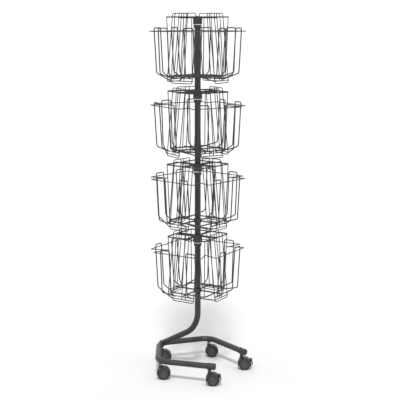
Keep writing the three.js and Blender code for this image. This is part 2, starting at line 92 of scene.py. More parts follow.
UPRIGHT_BACK = 1.6 * WIRE_R  # how far an upright stands behind the back loop
RING_Z = -0.074
RING_N = 0.1615
RING_HALF = 0.116
RING_BACK_N = 0.103
RING_BACK_T = 0.0975
RING_CORNER_R = 0.0035
BACK_CORNER_R = 0.006
JOG_DEEP = 0.009
JOG_HALF = 0.009
JOG_CORNER_R = 0.003
POCKET_T = 0.062
HOOP_HALF = 0.0223
HOOP_RISE = 0.013
HOOP_CORNER_R = 0.008
HOOP_LOW_N = 0.151
HOOP_LOW_Z = -0.244
HOOP_FOOT_R = 0.012
FOOT_END_Z = -0.261
FOOT_CLEAR = 0.001  # a face's last foot stands this far off the next face's back loop
FOOT_OVER_LOOP = 0.010  # and this far above the bottom of that loop
BASE_Z = 0.082
BASE_APOTHEM = 0.163
BASE_HALF_SIDE_DEGREES = 36
BASE_CORNER_DEGREES = (-36, -108, 180, 108, 36)  # from one open end round the back to the other
BASE_BACK = 0.008  # how far the middle of the base is behind the pole
BASE_TUBE_R = 0.0122
BASE_BEND_R = 0.060
BASE_END_EXTRA = 0.012
RISER_ELBOW_Z = 0.193
RISER_BEND_R = 0.130
RISER_FOOT_Z = 0.084
POLE_JOINT_Z = 0.346
CAP_DEPTH = 0.030  # how far a leg cap reaches back over the tube, past the caster's stem
CAP_IN_R = 0.0123
CAP_OUT_R = 0.01435
WHEEL_R = 0.025
WHEEL_INNER = 0.0043
WHEEL_OUTER = 0.0193
AXLE_R = 0.0036
AXLE_HALF = 0.0153
WEB_HALF = 0.0035
WEB_HUB_R = 3 * AXLE_R
WEB_HUB_DEGREES = (200, 340)
TRAIL = 0.013
HOOD_IN_R = 0.0263
HOOD_OUT_R = 0.0290
HOOD_HALF = 0.0178
HOOD_DEGREES = (-18, 190)
RIDGE_HALF = 0.0011
RIDGE_HIGH = 0.0007
BRAKED_RIDGE_FROM = 45  # degrees: the ridge starts behind the lever's ears
BOSS_R = 0.008
BOSS_BOTTOM = 0.046
BOSS_TOP = 0.062
STEM_R = 0.005
SHOULDER_R = 0.0072
SHOULDER_HIGH = 0.004
RUNNING_GAP = 0.0005
SWIVEL_DEGREES = 36
SCREW_DEGREES = -36  # the way the collars' set screws face
LEVER_HALF = 0.009
LEVER_BARREL_R = 0.0026
LEVER_PIVOT_R = 0.0324
LEVER_PIVOT_DEGREES = 30
LEVER_IN_R = 0.0316
LEVER_OUT_R = 0.0355
LEVER_LOW_DEGREES = -8
BEAK_R = 0.0395
BEAK_DEGREES = 33
EAR_THICK = 0.003
EAR_HIGH = 0.0065
EAR_DEGREES = (20, 40)
WHEEL_BORE_R = 0.0042
WHEEL_END_GAP = 0.0006  # air between the axle's end and the wheel's cap
TYRE_FROM_R = 0.0171  # the wheel is tyre outside this radius
SHARP_ANGLE = math.radians(42)

# Welds, as half sizes outwards from the pole, across and up.
RAIL_WELD = (0.0022, 0.0026, 0.0027)
UPRIGHT_WELD = (0.0022, 0.0025, 0.0022)
TOP_FRAME_WELD = (0.0024, 0.0027, 0.0030)
WIRE_END_WELD = (0.0026, 0.0026, 0.0028)
HOOP_WELD = (0.0026, 0.0030, 0.0024)
FOOT_WELD = (0.0032, 0.0032, 0.0030)
POST_WELD = (0.003, 0.003, 0.0028)
POST_WELD_SHIFT = 0.0012  # the welds on a corner post sit this far off its middle line
WIRE_END_SHIFT = 0.0006  # and a front wire's end this far
TOP_WELD_DROP = 0.0006


# ---- Shapes --------------------------------------------------------------------------------------
def bent(corners, radius, steps=6, loop=False):
    """The corner points with each corner turned on an arc. The radius is one number, or one a corner."""
    radii = radius if isinstance(radius, (list, tuple)) else [radius] * len(corners)
    points = []
    for i, corner in enumerate(corners):
        if not loop and i in (0, len(corners) - 1):
            points.append(corner.copy())
            continue
        back = corners[i - 1] - corner
        ahead = corners[(i + 1) % len(corners)] - corner
        half = back.angle(ahead) / 2
        reach = min(radii[i] / math.tan(half), 0.45 * back.length, 0.45 * ahead.length)
        if reach < 1e-6:
            points.append(corner.copy())
            continue
        inward = (back.normalized() + ahead.normalized()).normalized()
        centre = corner + inward * reach / math.cos(half)
        start = corner + back.normalized() * reach - centre
        turn = start.rotation_difference(corner + ahead.normalized() * reach - centre)
        for step in range(steps + 1):
            points.append(centre + Quaternion().slerp(turn, step / steps) @ start)
    return points


def skin(mesh, rings, loop=False, paint=0):
    """Joins rings of points with faces. Open ends are closed with a flat face."""
    made = [[mesh.verts.new(point) for point in ring] for ring in rings]
    pairs = list(zip(made, made[1:]))
    if loop:
        pairs.append((made[-1], made[0]))
    faces = []
    for low, high in pairs:
        for i in range(len(low)):
            j = (i + 1) % len(low)
            faces.append(mesh.faces.new((low[i], low[j], high[j], high[i])))
    if not loop:
        faces += [mesh.faces.new(made[0]), mesh.faces.new(made[-1])]
    for face in faces:
        face.material_index = paint


def directions(path, loop):
    """The way the path runs at each of its points."""
    found = []
    last = len(path) - 1
    for i, here in enumerate(path):
        into = here - path[i - 1] if i > 0 or loop else Vector()
        out = path[(i + 1) % len(path)] - here if i < last or loop else Vector()
        found.append((into.normalized() + out.normalized()).normalized())
    return found


def circle(centre, across, up, radius, sides):
    """A ring of points, counted round from the way that across points."""
    ring = []
    for i in range(sides):
        angle = 2 * math.pi * i / sides
        ring.append(centre + across * radius * math.cos(angle) + up * radius * math.sin(angle))
    return ring


def rod(mesh, path, radius, sides=12, loop=False, first_ring=None):
    """A round rod along the path. Its open ends have a small chamfer, or start on the given ring."""
    radii = list(radius) if isinstance(radius, (list, tuple)) else [radius] * len(path)
    points = [point.copy() for point in path]
    if not loop:
        chamfer = 0.3 * radii[0]
        points.insert(1, points[0] + (points[1] - points[0]).normalized() * chamfer)
        points.insert(-1, points[-1] + (points[-2] - points[-1]).normalized() * chamfer)
        radii = [0.7 * radii[0], radii[0], *radii[1:-1], radii[-1], 0.7 * radii[-1]]
    ways = directions(points, loop)
    across = ways[0].orthogonal().normalized()
    rings = []
    for i, centre in enumerate(points):
        if i:
            across = ways[i - 1].rotation_difference(ways[i]) @ across
        rings.append(circle(centre, across, ways[i].cross(across), radii[i], sides))
    if first_ring is not None:
        rings = [first_ring(rings[0], ways[0])] + rings[2:]
    skin(mesh, rings, loop)


def turned(mesh, profile, place=None, sides=32, paint=None):
    """Turns a (radius, height) profile about the place's Z axis. It closes, or ends on the axis."""
    place = place or Matrix()
    paint = paint or (lambda radius, height: 0)
    rows = []
    for radius, height in profile:
        if radius < 1e-7:
            rows.append([mesh.verts.new(place @ Vector((0, 0, height)))])
            continue
        ring = circle(Vector((0, 0, height)), Vector((1, 0, 0)), Vector((0, 1, 0)), radius, sides)
        rows.append([mesh.verts.new(place @ point) for point in ring])
    pairs = list(zip(range(len(rows)), range(1, len(rows))))
    if len(rows[0]) > 1:
        pairs.append((len(rows) - 1, 0))
    for low, high in pairs:
        for i in range(sides):
            j = (i + 1) % sides
            quad = [rows[low][i % len(rows[low])], rows[low][j % len(rows[low])]]
            quad += [rows[high][j % len(rows[high])], rows[high][i % len(rows[high])]]
            corners = list(dict.fromkeys(quad))
            face = mesh.faces.new(corners)
            middle = [(a + b) / 2 for a, b in zip(profile[low], profile[high])]
            face.material_index = paint(*middle)


def soft_profile(profile, radius, steps=3):
    """A (radius, height) profile with its corners rounded, apart from points on the axis."""
    corners = [Vector((r, z, 0)) for r, z in profile]
    on_axis = profile[0][0] < 1e-7
    return [(point.x, point.y) for point in bent(corners, radius, steps, loop=not on_axis)]


def groove(radius, z, slope, wide):
    """The profile of a shallow rolled groove that starts at the height z."""
    floor = radius - GROOVE_DEEP
    return [(radius, z), (floor, z + slope), (floor, z + wide - slope), (radius, z + wide)]


def sleeve(mesh, outer, bore, bottom, top, place=None, edge=0.0009, sides=48):
    """A plain tube with rounded edges."""
    profile = [(bore, bottom), (outer, bottom), (outer, top), (bore, top)]
    turned(mesh, soft_profile(profile, edge), place, sides)


def inset(outline, amount):
    """The closed outline of (x, z) points moved inwards."""
    area = sum(a[0] * b[1] - b[0] * a[1] for a, b in zip(outline, outline[1:] + outline[:1]))
    side = 1 if area > 0 else -1
    moved = []
    for i, here in enumerate(outline):
        before = Vector(outline[i - 1])
        after = Vector(outline[(i + 1) % len(outline)])
        into = (Vector(here) - before).normalized()
        out = (after - Vector(here)).normalized()
        normals = [Vector((-way.y, way.x)) * side for way in (into, out)]
        shift = (normals[0] + normals[1]) / (1 + normals[0].dot(normals[1]))
        moved.append(tuple(Vector(here) + shift * amount))
    return moved


def plate(mesh, outline, low, high, place, edge=0.0006):
    """A flat piece with an (x, z) outline, from low to high along y, with eased edges."""
    levels = [(low, edge), (low + 0.3 * edge, 0.3 * edge), (low + edge, 0)]
    levels += [(high - edge, 0), (high - 0.3 * edge, 0.3 * edge), (high, edge)]
    rings = []
    for y, amount in levels:
        points = inset(outline, amount) if amount else outline
        rings.append([place @ Vector((x, y, z)) for x, z in points])
    skin(mesh, rings)


def nugget(mesh, centre, radii):
    """A small weld: an ellipsoid."""
    rows = 6
    profile = [(math.sin(math.pi * i / rows), -math.cos(math.pi * i / rows)) for i in range(rows + 1)]
    profile[0] = (0, -1)
    profile[-1] = (0, 1)
    turned(mesh, profile, Matrix.Translation(centre) @ Matrix.Diagonal((*radii, 1)), sides=8)


def arc(centre_x, centre_z, radius, from_degrees, to_degrees, steps):
    """The (x, z) points of an arc, from one direction to the other."""
    points = []
    for i in range(steps + 1):
        angle = math.radians(from_degrees + (to_degrees - from_degrees) * i / steps)
        points.append((centre_x + radius * math.cos(angle), centre_z + radius * math.sin(angle)))
    return points


def piece(mesh, node, finishes, place=None):
    """Makes the finished object that stands for a CAD node, on that node's body."""
    name = node + "_finished"
    bmesh.ops.recalc_face_normals(mesh, faces=mesh.faces)
    data = bpy.data.meshes.new(name)
    mesh.to_mesh(data)
    mesh.free()
    data.transform(place or Matrix())
    for polygon in data.polygons:
        polygon.use_smooth = True
    data.set_sharp_from_angle(angle=SHARP_ANGLE)
    for finish in finishes:
        data.materials.append(finish)
    made = bpy.data.objects.new(name, data)
    bpy.context.scene.collection.objects.link(made)
    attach(made, BODY_OF[node])
    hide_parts(node)
    return made


# ---- Materials -----------------------------------------------------------------------------------
def new_material(name):
    made = bpy.data.materials.new(name)
    made.use_nodes = True
    tree = made.node_tree
    shader = tree.nodes["Principled BSDF"]
    coordinates = tree.nodes.new("ShaderNodeTexCoord").outputs["Object"]
    return made, tree, shader, coordinates


def noise(tree, coordinates, scale, detail=3.0, roughness=0.5):
    node = tree.nodes.new("ShaderNodeTexNoise")
    node.inputs["Scale"].default_value = scale
    node.inputs["Detail"].default_value = detail
    node.inputs["Roughness"].default_value = roughness
    tree.links.new(coordinates, node.inputs["Vector"])
    return node.outputs["Fac"]


def ranged(tree, value, low, high, to_low, to_high):
    node = tree.nodes.new("ShaderNodeMapRange")
    names = ("From Min", "From Max", "To Min", "To Max")
    for name, number in zip(names, (low, high, to_low, to_high)):
        node.inputs[name].default_value = number
    tree.links.new(value, node.inputs["Value"])
    return node.outputs["Result"]


def mixed(tree, share, first, second):
    """A mix of two colours, each a plain colour or another node's output."""
    node = tree.nodes.new("ShaderNodeMix")
    node.data_type = "RGBA"
    tree.links.new(share, node.inputs["Factor"])
    for socket, colour in ((node.inputs["A"], first), (node.inputs["B"], second)):
        if isinstance(colour, tuple):
            socket.default_value = (*colour, 1)
        else:
            tree.links.new(colour, socket)
    return node.outputs["Result"]


def bump(tree, shader, heights):
    """Adds bumps of (height, depth in metres) on top of each other."""
    normal = None
    for height, depth in heights:
        node = tree.nodes.new("ShaderNodeBump")
        node.inputs["Distance"].default_value = depth
        tree.links.new(height, node.inputs["Height"])
        if normal:
            tree.links.new(normal, node.inputs["Normal"])
        normal = node.outputs["Normal"]
    tree.links.new(normal, shader.inputs["Normal"])


def powder_coat(name, deep, pale, scuff, rough):
    """Satin powder coat: orange peel, uneven film, and faint rubbed places."""
    made, tree, shader, place = new_material(name)
    tone = ranged(tree, noise(tree, place, 14, 4, 0.6), 0.35, 0.65, 0, 1)
    speckle = ranged(tree, noise(tree, place, 1400, 2, 0.5), 0.35, 0.75, 0, 0.55)
    rubbed = ranged(tree, noise(tree, place, 46, 8, 0.7), 0.60, 0.74, 0, 0.5)
    colour = mixed(tree, tone, deep, pale)
    colour = mixed(tree, speckle, colour, pale)
    tree.links.new(mixed(tree, rubbed, colour, scuff), shader.inputs["Base Color"])
    gloss = ranged(tree, noise(tree, place, 30, 5, 0.6), 0.3, 0.7, rough - 0.08, rough + 0.1)
    tree.links.new(gloss, shader.inputs["Roughness"])
    peel = noise(tree, place, 620, 2, 0.5)
    grit = noise(tree, place, 2600, 1, 0.5)
    bump(tree, shader, [(peel, 0.00022), (grit, 0.00005)])
    shader.inputs["Specular IOR Level"].default_value = 0.42
    return made


def moulded(name, deep, pale, dust, rough, grain=1900):
    """Moulded plastic: a fine spark texture, slight mottling, and dust that gathers in patches."""
    made, tree, shader, place = new_material(name)
    tone = ranged(tree, noise(tree, place, 60, 5, 0.6), 0.35, 0.65, 0, 1)
    dusty = ranged(tree, noise(tree, place, 130, 9, 0.72), 0.52, 0.72, 0, 0.42)
    colour = mixed(tree, tone, deep, pale)
    tree.links.new(mixed(tree, dusty, colour, dust), shader.inputs["Base Color"])
    gloss = ranged(tree, noise(tree, place, 90, 4, 0.6), 0.3, 0.7, rough - 0.07, rough + 0.12)
    tree.links.new(gloss, shader.inputs["Roughness"])
    spark = noise(tree, place, grain, 3, 0.6)
    sink = noise(tree, place, 210, 3, 0.5)
    bump(tree, shader, [(spark, 0.00012), (sink, 0.00012)])
    return made


def bare_metal(name, deep, pale, rough):
    """Zinc-plated steel: a faint spangle and fine turning marks."""
    made, tree, shader, place = new_material(name)
    tone = ranged(tree, noise(tree, place, 420, 4, 0.6), 0.35, 0.65, 0, 1)
    tree.links.new(mixed(tree, tone, deep, pale), shader.inputs["Base Color"])
    gloss = ranged(tree, noise(tree, place, 300, 3, 0.6), 0.3, 0.7, rough - 0.08, rough + 0.12)
    tree.links.new(gloss, shader.inputs["Roughness"])
    shader.inputs["Metallic"].default_value = 0.9
    marks = noise(tree, place, 3000, 2, 0.5)
    bump(tree, shader, [(marks, 0.00006)])
    return made


WIRE_COAT = powder_coat(
    "wire_coat",
    deep=(0.016, 0.013, 0.011),
    pale=(0.030, 0.025, 0.021),
    scuff=(0.075, 0.066, 0.058),
    rough=0.46,
)
TUBE_COAT = powder_coat(
    "tube_coat",
    deep=(0.012, 0.013, 0.013),
    pale=(0.022, 0.024, 0.024),
    scuff=(0.060, 0.063, 0.063),
    rough=0.40,
)
NYLON = moulded(
    "natural_nylon",
    deep=(0.46, 0.48, 0.48),
    pale=(0.60, 0.61, 0.60),
    dust=(0.36, 0.35, 0.33),
    rough=0.48,
)
ZINC = bare_metal("zinc_plate", deep=(0.42, 0.42, 0.40), pale=(0.58, 0.58, 0.56), rough=0.34)
HOOD_PLASTIC = moulded(
    "hood_plastic",
    deep=(0.007, 0.008, 0.0085),
    pale=(0.013, 0.014, 0.0155),
    dust=(0.045, 0.045, 0.043),
    rough=0.38,
)
DISC_PLASTIC = moulded(
    "disc_plastic",
    deep=(0.022, 0.025, 0.027),
    pale=(0.034, 0.038, 0.040),
    dust=(0.075, 0.077, 0.075),
    rough=0.50,
)
TREAD_PLASTIC = moulded(
    "tread_plastic",
    deep=(0.007, 0.008, 0.0085),
    pale=(0.013, 0.014, 0.015),
    dust=(0.045, 0.044, 0.042),
    rough=0.62,
    grain=900,
)


# ---- Tiers ---------------------------------------------------------------------------------------
def tier_place(number, degrees=0):
    """A tier's frame: its origin is on the pole at the tier's top, and +X points out through a face."""
    top = JOINT_AT[f"tier_{number}_spin"] + Vector((0, 0, JOINT_DROP))
    return Matrix.Translation(top) @ Matrix.Rotation(math.radians(TIER_TURN[number] + degrees), 4, "Z")


def loop_n(z):
    """How far out the back loop stands, at a height within the tier."""
    return LOOP_TOP_N + (LOOP_LOW_N - LOOP_TOP_N) * z / LOOP_LOW_Z


def hoop_n(z):
    """Where a hoop's middle line stands: its wire lies against the back of the front wire."""
    lean = RING_N + (HOOP_LOW_N - RING_N) * (z - RING_Z) / (HOOP_LOW_Z - RING_Z)
    return lean - WIRE_R - HOOP_R + PRESS


def add_back_loop(mesh):
    """A face's back loop, its two cross wires and its two uprights."""
    top = -WIRE_R
    corners = []
    for t, z in ((-LOOP_HALF, top), (LOOP_HALF, top), (LOOP_HALF, LOOP_LOW_Z), (-LOOP_HALF, LOOP_LOW_Z)):
        corners.append(Vector((loop_n(z), t, z)))
    rod(mesh, bent(corners, LOOP_CORNER_R, loop=True), WIRE_R, loop=True)
    for z in RAIL_Z:
        rod(mesh, [Vector((loop_n(z), -LOOP_HALF, z)), Vector((loop_n(z), LOOP_HALF, z))], WIRE_R)
        for t in (-LOOP_HALF, LOOP_HALF):
            nugget(mesh, Vector((loop_n(z), t, z)), RAIL_WELD)
    for t in (-UPRIGHT_T, UPRIGHT_T):
        low = RAIL_Z[0]
        back = Vector((-UPRIGHT_BACK, 0, 0))
        ends = [Vector((loop_n(low), t, low)) + back, Vector((loop_n(top), t, top)) + back]
        rod(mesh, ends, WIRE_R)
        for z in (*RAIL_Z, top - TOP_WELD_DROP):
            nugget(mesh, Vector((loop_n(z) - WIRE_R, t, z)), UPRIGHT_WELD)
    for t in (-LOOP_HALF, LOOP_HALF, -UPRIGHT_T, UPRIGHT_T):
        z = TOP_FRAME_Z
        nugget(mesh, Vector((loop_n(z) + WIRE_R, t, z)), TOP_FRAME_WELD)


def post_xy(z):
    """How far out a corner post stands, along x and along y, at a height within the tier."""
    corner_in = FRAME_CORNER_R * (1 - math.sqrt(0.5))
    share = (z - BOTTOM_FRAME_Z) / (TOP_FRAME_Z - BOTTOM_FRAME_Z)
    return BOTTOM_FRAME_HALF + (TOP_FRAME_HALF - BOTTOM_FRAME_HALF) * share - corner_in


def add_front_wire(mesh):
    """The wire across the front. Each end turns in past the corner and is welded to the corner post."""
    post = post_xy(RING_Z)
    side = [
        (post + WIRE_R, post + WIRE_END_SHIFT),
        (RING_BACK_N, RING_BACK_T),
        (RING_N, RING_HALF),
        (RING_N, JOG_HALF),
    ]
    spots = [(n, -t) for n, t in side] + [(RING_N - JOG_DEEP, 0)] + side[::-1]
    corners = [Vector((n, t, RING_Z)) for n, t in spots]
    half = [0, BACK_CORNER_R, RING_CORNER_R, JOG_CORNER_R]
    rod(mesh, bent(corners, half + [JOG_CORNER_R] + half[::-1]), WIRE_R)
    for t in (-post, post):
        nugget(mesh, Vector((post + POST_WELD_SHIFT, t, RING_Z)), WIRE_END_WELD)


def foot_end(t):
    """Where the foot of the hoop leg at t ends: on the back loop, or beside the next face's loop."""
    n = loop_n(FOOT_END_Z)
    if abs(t) < LOOP_HALF:
        return Vector((n, t, FOOT_END_Z))
    if t < 0:
        return Vector((n, -LOOP_HALF, FOOT_END_Z))
    beside = LOOP_HALF + WIRE_R + HOOP_R + FOOT_CLEAR
    return Vector((beside, LOOP_LOW_N, LOOP_LOW_Z + FOOT_OVER_LOOP))


def add_hoop(mesh, middle):
    """A pocket's hoop, welded to the front wire and at its feet."""
    legs = []
    for t in (middle - HOOP_HALF, middle + HOOP_HALF):
        spots = [(hoop_n(HOOP_LOW_Z), HOOP_LOW_Z), (hoop_n(RING_Z + HOOP_RISE), RING_Z + HOOP_RISE)]
        legs.append([foot_end(t)] + [Vector((n, t, z)) for n, z in spots])
        nugget(mesh, Vector((hoop_n(RING_Z) + HOOP_R, t, RING_Z)), HOOP_WELD)
        nugget(mesh, foot_end(t), FOOT_WELD)
    corners = legs[0] + legs[1][::-1]
    radii = [0, HOOP_FOOT_R, HOOP_CORNER_R, HOOP_CORNER_R, HOOP_FOOT_R, 0]
    rod(mesh, bent(corners, radii, steps=7), HOOP_R)


def face_wires():
    mesh = bmesh.new()
    add_back_loop(mesh)
    add_front_wire(mesh)
    for middle in (-POCKET_T, POCKET_T):
        add_hoop(mesh, middle)
    return mesh


def add_square(mesh, half, z):
    corners = [Vector((x * half, y * half, z)) for x, y in ((1, -1), (1, 1), (-1, 1), (-1, -1))]
    rod(mesh, bent(corners, FRAME_CORNER_R, 8, loop=True), FRAME_ROD_R, sides=16, loop=True)


def add_spokes(mesh, inner, outer, z, high):
    """Four flat bars with eased edges, each welded to the sleeve and to the rod that it meets."""
    outline = [(inner, z - high / 2), (outer, z - high / 2), (outer, z + high / 2), (inner, z + high / 2)]
    for quarter in range(4):
        place = Matrix.Rotation(math.pi / 2 * quarter, 4, "Z")
        plate(mesh, outline, -SPOKE_THICK / 2, SPOKE_THICK / 2, place)
        for side in (-1, 1):
            root = Vector((inner + 0.0008, side * (SPOKE_THICK / 2 + 0.0002), z))
            nugget(mesh, place @ root, (SPOKE_WELD_R, SPOKE_WELD_R, high / 2))


def top_frame():
    mesh = bmesh.new()
    add_square(mesh, TOP_FRAME_HALF, TOP_FRAME_Z)
    add_spokes(mesh, HUB_R - PRESS, TOP_FRAME_HALF, TOP_FRAME_Z - SPOKE_DROP, SPOKE_HIGH)
    return mesh


def bottom_frame():
    mesh = bmesh.new()
    add_square(mesh, BOTTOM_FRAME_HALF, BOTTOM_FRAME_Z)
    low = BOTTOM_FRAME_Z - GUIDE_HIGH / 2
    sleeve(mesh, GUIDE_R, HUB_BORE_R, low, low + GUIDE_HIGH)
    loop_back = loop_n(BOTTOM_FRAME_Z) - WIRE_R
    add_spokes(mesh, GUIDE_R - PRESS, loop_back, BOTTOM_FRAME_Z, 2 * FRAME_ROD_R)
    for x, y in ((1, 1), (-1, 1), (-1, -1), (1, -1)):
        ends = [Vector((x * post_xy(z), y * post_xy(z), z)) for z in (BOTTOM_FRAME_Z, TOP_FRAME_Z)]
        rod(mesh, ends, WIRE_R)
        for end in ends:
            nugget(mesh, end - Vector((x, y, 0)) * POST_WELD_SHIFT, POST_WELD)
    return mesh


def hub():
    """The sleeve that carries a tier: a steel tube with two overlapping rolled grooves low on it."""
    mesh = bmesh.new()
    profile = [(HUB_BORE_R, HUB_BOTTOM), (HUB_R, HUB_BOTTOM)]
    for z in (HUB_BOTTOM + 0.005, HUB_TOP - 0.026):
        profile += groove(HUB_R, z, 0.0005, 0.0017)
    profile += [(HUB_R, HUB_TOP), (HUB_BORE_R, HUB_TOP)]
    turned(mesh, soft_profile(profile, 0.0009), sides=48)
    return mesh


def washer(top, bottom):
    mesh = bmesh.new()
    sleeve(mesh, WASHER_R, SLEEVE_BORE_R, bottom, top, edge=0.0008)
    return mesh


def collar(top, bottom):
    """A shaft collar with a socket set screw in its side."""
    mesh = bmesh.new()
    sleeve(mesh, COLLAR_R, SLEEVE_BORE_R, bottom, top, edge=0.0012)
    side = Matrix.Translation((0, 0, (top + bottom) / 2)) @ Matrix.Rotation(math.pi / 2, 4, "Y")
    rim = COLLAR_R + 0.0003
    profile = [(0, COLLAR_R - 0.001), (0.0014, COLLAR_R - 0.001), (0.0014, rim), (0.0026, rim)]
    profile += [(0.0029, rim - 0.0003), (0.0029, COLLAR_R - 0.002), (0, COLLAR_R - 0.002)]
    turned(mesh, profile, side, sides=18)
    return mesh


def make_tier(number):
    name = f"tier{number}"
    here = tier_place(number)
    piece(hub(), f"{name}_hub", [TUBE_COAT], here)
    piece(top_frame(), f"{name}_top_frame", [WIRE_COAT], here)
    piece(bottom_frame(), f"{name}_bottom_frame", [WIRE_COAT], here)
    for letter, degrees in FACES.items():
        there = tier_place(number, degrees)
        piece(face_wires(), f"{name}_face_{letter}", [WIRE_COAT], there)
    upright = Matrix.Translation(POLE) @ Matrix.Rotation(math.radians(SCREW_DEGREES), 4, "Z")
    for part, make, slot, finish in (
        ("washer", washer, "nylon_washer", NYLON),
        ("collar", collar, "coated_tube", TUBE_COAT),
    ):
        low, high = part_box(f"{name}_{part}")
        piece(make(high.z, low.z), f"{name}_{part}", [finish], upright)


# ---- Stand ---------------------------------------------------------------------------------------
def base_line():
    """The corners of the base tube, from the end on the right round the back to the end on the left."""
    radius = BASE_APOTHEM / math.cos(math.radians(BASE_HALF_SIDE_DEGREES))
    middle = POLE - Vector((BASE_BACK, 0, 0))
    corners = []
    for degrees in BASE_CORNER_DEGREES:
        angle = math.radians(degrees)
        corners.append(middle + Vector((radius * math.cos(angle), radius * math.sin(angle), BASE_Z)))
    for end, beyond in ((0, 1), (4, 3)):
        corners[end] += (corners[end] - corners[beyond]).normalized() * BASE_END_EXTRA
    return corners


def base_tube():
    mesh = bmesh.new()
    rod(mesh, bent(base_line(), BASE_BEND_R, 16), BASE_TUBE_R, sides=32)
    for letter in CASTERS:
        if letter not in BRAKED:
            add_stem_rim(mesh, letter, BASE_Z - BASE_TUBE_R)
    return mesh


def add_stem_rim(mesh, letter, under):
    """The pressed rim round a caster's stem, on the underside that it enters at the height given."""
    spot = JOINT_AT[f"caster_{letter}_swivel"]
    low = under - 0.0002
    bore = STEM_R + 0.0004
    profile = [(bore, low + 0.004), (bore, low), (0.0082, low), (0.0092, low + 0.004)]
    turned(mesh, profile, Matrix.Translation((spot.x, spot.y, 0)), sides=32)


def leg_cap(end, beyond, letter):
    """A long moulded cup over an end of the base tube, which the caster's stem passes up through.

    It has a rounded crown, a bead at its mouth and a moulding seam.
    """
    mesh = bmesh.new()
    outer = CAP_OUT_R
    profile = [(0, 0.0002), (CAP_IN_R, 0.0002), (CAP_IN_R, -CAP_DEPTH), (outer, -CAP_DEPTH)]
    profile += [(outer, 0.0030 - CAP_DEPTH), (outer - 0.0006, 0.0036 - CAP_DEPTH)]
    profile += [(outer - 0.0004, -0.0006)]
    profile += [(outer, 0), (outer - 0.0002, 0.0022), (outer - 0.0045, 0.0048), (0, 0.0055)]
    along = (end - beyond).normalized()
    place = Matrix.Translation(end) @ along.to_track_quat("Z", "Y").to_matrix().to_4x4()
    turned(mesh, soft_profile(profile, 0.0006), place, sides=40)
    across = along.cross(Vector((0, 0, 1)))
    for side in (-1, 1):
        edge = across * side * (outer - 0.0004)
        rod(mesh, [end + edge - along * (CAP_DEPTH - 0.004), end + edge], 0.0005, sides=8)
    add_stem_rim(mesh, letter, BASE_Z - CAP_OUT_R)
    return mesh


def onto_base(point, way):
    """The point moved along the way onto the base tube's surface, or as near to it as it comes."""
    foot = JOINT_AT["caster_b_swivel"]
    away = Vector((point.x - foot.x, point.z - BASE_Z))
    step = Vector((way.x, way.z))
    length = step.length
    middle = -away.dot(step) / length**2
    nearest = away + step * middle
    rest = BASE_TUBE_R**2 - nearest.length_squared
    ahead = middle + math.sqrt(max(rest, 0)) / length
    return point + way * ahead


def riser_corners():
    foot = JOINT_AT["caster_b_swivel"]
    return [
        Vector((foot.x, POLE.y, RISER_FOOT_Z)),
        POLE + Vector((0, 0, RISER_ELBOW_Z)),
        POLE + Vector((0, 0, POLE_JOINT_Z)),
    ]


def riser_tube():
    """The bent riser, coped onto the base tube and welded round its foot with a rippled bead."""
    mesh = bmesh.new()
    corners = riser_corners()
    way = (corners[1] - corners[0]).normalized()

    def coped(ring, along):
        centre = sum(ring, Vector()) / len(ring)
        full = [centre + (point - centre).normalized() * POLE_R for point in ring]
        return [onto_base(point, along) for point in full]

    path = bent(corners, RISER_BEND_R, 20)
    path[0] = path[0] + way * 0.004
    rod(mesh, path, POLE_R, sides=32, first_ring=coped)
    across = way.orthogonal().normalized()
    count = 96
    seam = [onto_base(p, way) for p in circle(corners[0], across, way.cross(across), POLE_R, count)]
    ripple = [0.0021 + 0.0003 * math.sin(math.pi * i / 2) for i in range(count)]
    rod(mesh, seam, ripple, sides=10, loop=True)
    return mesh


def pole_tube():
    """The straight pole, with a shallow rolled joint where it meets the riser."""
    mesh = bmesh.new()
    low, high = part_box("pole_tube")
    profile = [(0, low.z), (POLE_R - 0.0005, low.z), (POLE_R, low.z + 0.0008)]
    profile += groove(POLE_R, low.z + 0.012, 0.0006, 0.0028)
    profile += [(POLE_R, high.z - 0.0006), (POLE_R - 0.0006, high.z), (0, high.z)]
    turned(mesh, profile, Matrix.Translation(POLE), sides=48)
    return mesh


def pole_cap():
    mesh = bmesh.new()
    low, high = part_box("pole_cap")
    rim = high.z - 0.0038
    profile = [(0, low.z), (POLE_R - 0.002, low.z), (POLE_R - 0.002, rim), (POLE_R + 0.0002, rim)]
    profile += [(POLE_R + 0.0002, rim + 0.0016), (POLE_R - 0.0022, high.z - 0.0006), (0, high.z)]
    turned(mesh, soft_profile(profile, 0.0008), Matrix.Translation(POLE), sides=40)
    return mesh


def make_stand():
    line = base_line()
    piece(base_tube(), "base_tube", [TUBE_COAT])
    piece(leg_cap(line[0], line[1], "e"), "leg_cap_right", [HOOD_PLASTIC])
    piece(leg_cap(line[4], line[3], "d"), "leg_cap_left", [HOOD_PLASTIC])
    piece(riser_tube(), "riser_tube", [TUBE_COAT])
    piece(pole_tube(), "pole_tube", [TUBE_COAT])
    piece(pole_cap(), "pole_cap", [HOOD_PLASTIC])


# ---- Casters -------------------------------------------------------------------------------------
# In a caster's own frame the swivel axis is Z, +X is the way it trails, and the axle lies along Y.
def caster_place(letter):
    spot = JOINT_AT[f"caster_{letter}_swivel"]
    turn = Matrix.Rotation(math.radians(SWIVEL_DEGREES), 4, "Z")
    return Matrix.Translation((spot.x, spot.y, 0)) @ turn


def hood_band(inner, outer, low, high, steps=22):
    """The outline of a band of the hood, in degrees round the axle."""
    return arc(TRAIL, WHEEL_R, outer, low, high, steps) + arc(TRAIL, WHEEL_R, inner, high, low, steps)


def bare_stem(radius, height):
    """The stem is bare zinc above the boss, apart from its wide shoulder."""
    return 1 if radius < STEM_R + 0.0003 and height > BOSS_TOP else 0


